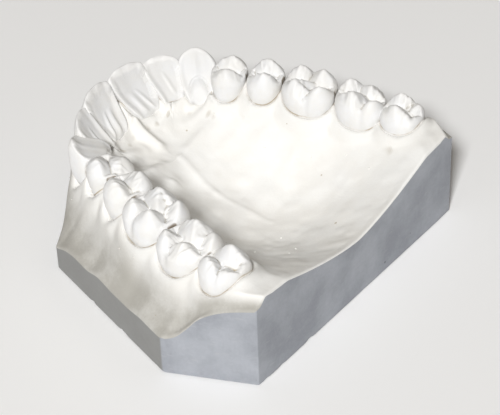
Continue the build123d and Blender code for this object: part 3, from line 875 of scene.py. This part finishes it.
def makeAirHoles():
    # small round air holes, thinned out by a slow noise
    tree, source, target = newGroup("airHoles", [("Scale", 420), ("Size", 0.12), ("Share", 0.55)], ["Hole"])
    spot = objectSpot(tree)
    cells = tree.nodes.new("ShaderNodeTexVoronoi")
    cells.inputs["Randomness"].default_value = 1
    tree.links.new(source.outputs["Scale"], cells.inputs["Scale"])
    tree.links.new(spot, cells.inputs["Vector"])
    pick = tree.nodes.new("ShaderNodeSeparateColor")
    tree.links.new(cells.outputs["Color"], pick.inputs["Color"])
    size = addMath(tree, "MULTIPLY", source.outputs["Size"], pick.outputs["Green"])
    inside = addMath(tree, "LESS_THAN", cells.outputs["Distance"], size)
    kept = addMath(tree, "GREATER_THAN", pick.outputs["Red"], source.outputs["Share"])
    tree.links.new(addMath(tree, "MULTIPLY", inside, kept), target.inputs["Hole"])
    return tree


def makeStain():
    # a thin brown line that comes and goes along a crevice
    tree, source, target = newGroup(
        "creviceStain", [("Distance", 9), ("Width", 0.25), ("Patches", 260)], ["Stain"])
    spot = objectSpot(tree)
    patch = addRamp(tree, addNoise(tree, spot, source.outputs["Patches"], 3), 0.38, 0.62, 0.15, 1)
    away = addMath(tree, "ABSOLUTE", source.outputs["Distance"], 0)
    line = addRamp(tree, away, 0.0, source.outputs["Width"], 1, 0)
    tree.links.new(addMath(tree, "MULTIPLY", line, patch), target.inputs["Stain"])
    return tree


plasterSkin, airHoles, creviceStain = makePlasterSkin(), makeAirHoles(), makeStain()


class Finish:
    # one plaster finish: colours laid over each other, roughness and bump
    def __init__(self, name, roughness):
        self.material = bpy.data.materials.new(name)
        self.material.use_nodes = True
        self.tree = self.material.node_tree
        self.shader = self.tree.nodes["Principled BSDF"]
        self.shader.inputs["Roughness"].default_value = roughness
        self.shader.inputs["Specular IOR Level"].default_value = 0.3
        self.color = None

    def group(self, tree, values):
        # values: numbers or sockets by the label of the group's input
        node = self.tree.nodes.new("ShaderNodeGroup")
        node.node_tree = tree
        for label, value in values.items():
            socket = node.inputs[label]
            if isinstance(value, (int, float)):
                socket.default_value = value
            else:
                self.tree.links.new(value, socket)
        return node.outputs

    def attribute(self, name):
        node = self.tree.nodes.new("ShaderNodeAttribute")
        node.attribute_name = name
        return node.outputs["Fac"]

    def lay(self, color, mask, under=None):
        # color goes over what is there, as far as the mask says
        node = self.tree.nodes.new("ShaderNodeMix")
        node.data_type = "RGBA"
        if under is not None:
            node.inputs["A"].default_value = (*under, 1)
        else:
            self.tree.links.new(self.color, node.inputs["A"])
        node.inputs["B"].default_value = (*color, 1)
        self.tree.links.new(mask, node.inputs["Factor"])
        self.color = node.outputs["Result"]

    def finish(self, height, strength, distance):
        bump = self.tree.nodes.new("ShaderNodeBump")
        bump.inputs["Strength"].default_value = strength
        bump.inputs["Distance"].default_value = distance
        self.tree.links.new(height, bump.inputs["Height"])
        self.tree.links.new(bump.outputs["Normal"], self.shader.inputs["Normal"])
        self.tree.links.new(self.color, self.shader.inputs["Base Color"])
        return self.material


def spotHeight(tree):
    # height above the underside, in metres
    split = tree.nodes.new("ShaderNodeSeparateXYZ")
    tree.links.new(tree.nodes.new("ShaderNodeTexCoord").outputs["Object"], split.inputs["Vector"])
    return split.outputs["Z"]


# Colours of the crowns; painted shade is laid over the left front teeth and into the hollows, a painted
# highlight over the proud ridges, and slot is dark brown stain with painted shade where neighbours touch
toothLook = dict(white=(0.86, 0.865, 0.875), warm=(0.84, 0.83, 0.805), hollow=(0.54, 0.52, 0.475),
                 leftFrontShade=(0.68, 0.68, 0.68), proud=(0.91, 0.905, 0.895), stain=(0.38, 0.28, 0.14),
                 slot=(0.15, 0.10, 0.045), neckWidth=0.3, roughness=0.5,
                 leftFrontShadeStrength=0.4, hollowShadeStrength=0.85, proudHighlightStrength=0.8, neckStain=0.8, slotStainAndShade=0.9)


def makeToothStone():
    look = Finish("tooth_stone", toothLook["roughness"])
    skin = look.group(plasterSkin, {"Cloud Scale": 240, "Grain Scale": 3200, "Grain": 0.35})
    look.lay(toothLook["warm"], skin["Tone"], under=toothLook["white"])
    # painted shade: the left front teeth made greyer
    look.lay(toothLook["leftFrontShade"], addMath(look.tree, "MULTIPLY", look.attribute("leftFrontShade"), toothLook["leftFrontShadeStrength"]))
    hollow = look.attribute("hollow")
    # painted shade in the hollows of the crowns
    look.lay(toothLook["hollow"], addRamp(look.tree, hollow, 0.003, 0.025, 0, toothLook["hollowShadeStrength"]))
    # painted highlight on the proud points
    look.lay(toothLook["proud"], addRamp(look.tree, hollow, -0.004, -0.025, 0, toothLook["proudHighlightStrength"]))
    neck = look.group(creviceStain, {"Distance": look.attribute("neck"), "Width": toothLook["neckWidth"]})
    look.lay(toothLook["stain"], addMath(look.tree, "MULTIPLY", neck["Stain"], toothLook["neckStain"]))
    # dark brown stain with painted shade on the faces where neighbours touch, in patches, fainter higher up
    # the crown
    side = addRamp(look.tree, look.attribute("between"), 0.90, 0.96)
    low = addRamp(look.tree, look.attribute("neck"), 0.8, 3.6, 1, 0.5)
    spot = look.group(creviceStain, {"Distance": 0.0, "Width": 1.0, "Patches": 520})
    side = addMath(look.tree, "MULTIPLY", addMath(look.tree, "MULTIPLY", side, low), spot["Stain"])
    look.lay(toothLook["slot"], addMath(look.tree, "MULTIPLY", side, toothLook["slotStainAndShade"]))
    return look.finish(skin["Height"], 0.35, 0.00008)


# Colours of the gum and palate; grey is laid over the cheek side, and hollow is painted shade in the hollows
gumLook = dict(ivory=(0.895, 0.89, 0.87), warm=(0.865, 0.85, 0.815), hollow=(0.58, 0.54, 0.47),
               grey=(0.38, 0.365, 0.325), stain=(0.42, 0.33, 0.21), creaseWidth=0.22, roughness=0.6,
               greyness=0.85, hollowShadeStrength=0.6, creaseStain=0.5, holeStain=0.5, holeDepth=0.8)


def makeGumPlaster():
    look = Finish("gum_plaster", gumLook["roughness"])
    skin = look.group(plasterSkin, {"Cloud Scale": 110, "Grain Scale": 2400, "Grain": 0.5})
    look.lay(gumLook["warm"], skin["Tone"], under=gumLook["ivory"])
    cheek = addRamp(look.tree, look.attribute("cheekSide"), 0.0, 0.6, 0, gumLook["greyness"])
    patchy = addRamp(look.tree, skin["Tone"], 0, 1, 0.7, 1)
    look.lay(gumLook["grey"], addMath(look.tree, "MULTIPLY", cheek, patchy))
    hollow = look.attribute("hollow")
    # painted shade in the hollows of the gum and palate
    look.lay(gumLook["hollow"], addRamp(look.tree, hollow, 0.014, 0.06, 0, gumLook["hollowShadeStrength"]))
    crease = look.group(creviceStain, {"Distance": look.attribute("crease"), "Width": gumLook["creaseWidth"]})
    look.lay(gumLook["stain"], addMath(look.tree, "MULTIPLY", crease["Stain"], gumLook["creaseStain"]))
    hole = look.group(airHoles, {"Scale": 330, "Size": 0.09, "Share": 0.8})["Hole"]
    look.lay(gumLook["stain"], addMath(look.tree, "MULTIPLY", hole, gumLook["holeStain"]))
    dent = addMath(look.tree, "MULTIPLY", hole, gumLook["holeDepth"])
    return look.finish(addMath(look.tree, "SUBTRACT", skin["Height"], dent), 0.4, 0.00012)


# Colours of the ground faces; edge shows in streaks, and side is painted shade on the two long side faces
trimmedLook = dict(light=(0.42, 0.44, 0.48), dark=(0.30, 0.315, 0.35), hole=(0.12, 0.12, 0.12),
                   edge=(0.50, 0.51, 0.525), side=(0.27, 0.265, 0.245), roughness=0.72,
                   streakiness=0.35, sideShadeShare=0.75, holeStain=0.75, holesBelow=0.0045, holesAllBelow=0.0015)


def makeTrimmedPlaster():
    look = Finish("trimmed_plaster", trimmedLook["roughness"])
    skin = look.group(plasterSkin, {"Cloud Scale": 90, "Grain Scale": 1900, "Grain": 0.6})
    look.lay(trimmedLook["dark"], skin["Tone"], under=trimmedLook["light"])
    streaks = addNoise(look.tree, objectSpot(look.tree, (0.25, 0.25, 1)), 1500, 4, 0.6)
    look.lay(trimmedLook["edge"], addRamp(look.tree, streaks, 0.58, 0.75, 0, trimmedLook["streakiness"]))
    # painted shade: the two long side faces made darker
    sides = addMath(look.tree, "MULTIPLY", look.attribute("sideWall"), trimmedLook["sideShadeShare"])
    look.lay(trimmedLook["side"], sides)
    low = addRamp(look.tree, spotHeight(look.tree), trimmedLook["holesBelow"], trimmedLook["holesAllBelow"])
    many = look.group(airHoles, {"Scale": 520, "Size": 0.2, "Share": 0.72})["Hole"]
    few = look.group(airHoles, {"Scale": 260, "Size": 0.08, "Share": 0.8})["Hole"]
    hole = addMath(look.tree, "ADD", addMath(look.tree, "MULTIPLY", many, low), few, clamp=True)
    look.lay(trimmedLook["hole"], addMath(look.tree, "MULTIPLY", hole, trimmedLook["holeStain"]))
    rough = addMath(look.tree, "ADD", skin["Height"], addMath(look.tree, "MULTIPLY", streaks, 0.5))
    return look.finish(addMath(look.tree, "SUBTRACT", rough, hole), 0.4, 0.00012)


toothStone, gumPlaster, trimmedPlaster = makeToothStone(), makeGumPlaster(), makeTrimmedPlaster()
for piece in toothPieces:
    piece.data.materials.append(toothStone)
gum.data.materials.append(gumPlaster)
gum.data.materials.append(trimmedPlaster)
for k in range(surfaceFaces, len(gum.data.polygons)):
    gum.data.polygons[k].material_index = 1
    gum.data.polygons[k].use_smooth = False
plate.data.materials.append(trimmedPlaster)
for polygon in plate.data.polygons:
    polygon.use_smooth = False
print("plaster finishes made")


# Beads of plaster left by bubbles in the mould: how many per square metre, radii in metres
beads = dict(density=9000.0, least=0.00006, most=0.0002, seed=4)


def makeBeadTree():
    # small balls of random radius scattered over the gum
    tree = bpy.data.node_groups.new("plasterBeads", "GeometryNodeTree")
    face = tree.interface
    face.new_socket(name="Geometry", in_out="INPUT", socket_type="NodeSocketGeometry")
    for label, kind in (("Density", "NodeSocketFloat"), ("Least Radius", "NodeSocketFloat"),
                        ("Most Radius", "NodeSocketFloat"), ("Seed", "NodeSocketInt"),
                        ("Material", "NodeSocketMaterial")):
        face.new_socket(name=label, in_out="INPUT", socket_type=kind)
    face.new_socket(name="Geometry", in_out="OUTPUT", socket_type="NodeSocketGeometry")
    new, link = tree.nodes.new, tree.links.new
    source, target = new("NodeGroupInput"), new("NodeGroupOutput")
    scatter = new("GeometryNodeDistributePointsOnFaces")
    slot = new("GeometryNodeInputMaterialIndex")
    onGum = new("FunctionNodeCompare")  # material 0 is the gum, 1 the trimmed wall
    onGum.data_type, onGum.operation = "INT", "EQUAL"
    link(slot.outputs[0], onGum.inputs["A"])
    link(source.outputs["Geometry"], scatter.inputs["Mesh"])
    link(onGum.outputs["Result"], scatter.inputs["Selection"])
    link(source.outputs["Density"], scatter.inputs["Density"])
    link(source.outputs["Seed"], scatter.inputs["Seed"])
    ball = new("GeometryNodeMeshIcoSphere")
    ball.inputs["Radius"].default_value = 1
    ball.inputs["Subdivisions"].default_value = 2
    radius = new("FunctionNodeRandomValue")
    radius.data_type = "FLOAT"
    link(source.outputs["Least Radius"], radius.inputs[2])
    link(source.outputs["Most Radius"], radius.inputs[3])
    link(source.outputs["Seed"], radius.inputs["Seed"])
    place = new("GeometryNodeInstanceOnPoints")
    link(scatter.outputs["Points"], place.inputs["Points"])
    link(ball.outputs["Mesh"], place.inputs["Instance"])
    link(radius.outputs[1], place.inputs["Scale"])
    real, coat = new("GeometryNodeRealizeInstances"), new("GeometryNodeSetMaterial")
    link(place.outputs["Instances"], real.inputs["Geometry"])
    link(real.outputs["Geometry"], coat.inputs["Geometry"])
    link(source.outputs["Material"], coat.inputs["Material"])
    link(coat.outputs["Geometry"], target.inputs["Geometry"])
    return tree


def growBeads(ground, name, material, values):
    # run the tree on a copy of the gum and keep its result as a plain mesh
    holder = bpy.data.objects.new(name + "_ground", ground.data.copy())
    bpy.context.scene.collection.objects.link(holder)
    modifier = holder.modifiers.new("beads", "NODES")
    modifier.node_group = makeBeadTree()
    given = {"Density": values["density"], "Least Radius": values["least"], "Most Radius": values["most"],
             "Seed": values["seed"], "Material": material}
    for item in modifier.node_group.interface.items_tree:
        if item.in_out == "INPUT" and item.name in given:
            modifier[item.identifier] = given[item.name]
    graph = bpy.context.evaluated_depsgraph_get()
    mesh = bpy.data.meshes.new_from_object(holder.evaluated_get(graph))
    mesh.name = name
    bpy.data.objects.remove(holder)
    grown = bpy.data.objects.new(name, mesh)
    bpy.context.scene.collection.objects.link(grown)
    mesh.polygons.foreach_set("use_smooth", [True] * len(mesh.polygons))
    return grown


gumBeads = growBeads(gum, "gum_and_palate_beads", gumPlaster, beads)
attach(gumBeads, "root")
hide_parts("gum_and_palate")
print("beads grown:", len(gumBeads.data.polygons), "faces")


# Camera and light: places in mm and degrees, azimuth from +X towards +Y, power in watts
studio = dict(
    lens=153.4, sensor=36, cameraAt=(226.6, 195.2, 256.8), cameraRight=(-0.619, 0.785, -0.028),
    cameraUp=(-0.521, -0.383, 0.763), lightDistance=2,
    key=dict(azimuth=28, elevation=43, power=36.0, width=0.30),
    overhead=dict(azimuth=150, elevation=75, power=4.0, width=2.0, color=(1, 0.97, 0.92)),
    world=(1, 0.91, 0.76), worldStrength=0.105, floor=0.96, floorSize=1.5, floorDrop=0.0002)

scene = bpy.context.scene
lensData = bpy.data.cameras.new("camera")
lensData.lens = studio["lens"]
lensData.sensor_width = studio["sensor"]
camera = bpy.data.objects.new("camera", lensData)
scene.collection.objects.link(camera)
right, up = Vector(studio["cameraRight"]), Vector(studio["cameraUp"])
back = right.cross(up).normalized()
up = back.cross(right).normalized()
camera.matrix_world = Matrix.Translation(Vector(studio["cameraAt"]) * millimetre) @ Matrix(
    (right.normalized(), up, back)).transposed().to_4x4()
scene.camera = camera
scene.view_settings.view_transform = "Standard"  # keeps white plaster white


def softLight(name, azimuth, elevation, power, width, color=(1, 1, 1)):
    # an area light that faces the cast
    turn, lift = np.radians(azimuth), np.radians(elevation)
    way = Vector((np.cos(turn) * np.cos(lift), np.sin(turn) * np.cos(lift), np.sin(lift)))
    data = bpy.data.lights.new(name, "AREA")
    data.energy, data.size, data.color = power, width, color
    light = bpy.data.objects.new(name, data)
    light.location = way * studio["lightDistance"]
    light.rotation_euler = way.to_track_quat("Z", "Y").to_euler()
    scene.collection.objects.link(light)
    return light


lights = [softLight(name, **studio[name]) for name in ("key", "overhead")]
world = bpy.data.worlds.new("studio")
world.use_nodes = True
world.node_tree.nodes["Background"].inputs["Color"].default_value = (*studio["world"], 1)
world.node_tree.nodes["Background"].inputs["Strength"].default_value = studio["worldStrength"]
scene.world = world
far = studio["floorSize"]
floorMesh = bpy.data.meshes.new("floor")
floorMesh.from_pydata([(-far, -far, 0), (far, -far, 0), (far, far, 0), (-far, far, 0)], [], [[0, 1, 2, 3]])
floor = bpy.data.objects.new("floor", floorMesh)
floor.location.z = -studio["floorDrop"]
scene.collection.objects.link(floor)
paleFloor = bpy.data.materials.new("pale_floor")
paleFloor.use_nodes = True
floorShader = paleFloor.node_tree.nodes["Principled BSDF"]
floorShader.inputs["Base Color"].default_value = (studio["floor"],) * 3 + (1,)
floorShader.inputs["Roughness"].default_value = 0.9
floorMesh.materials.append(paleFloor)
print("camera, lights and floor set")
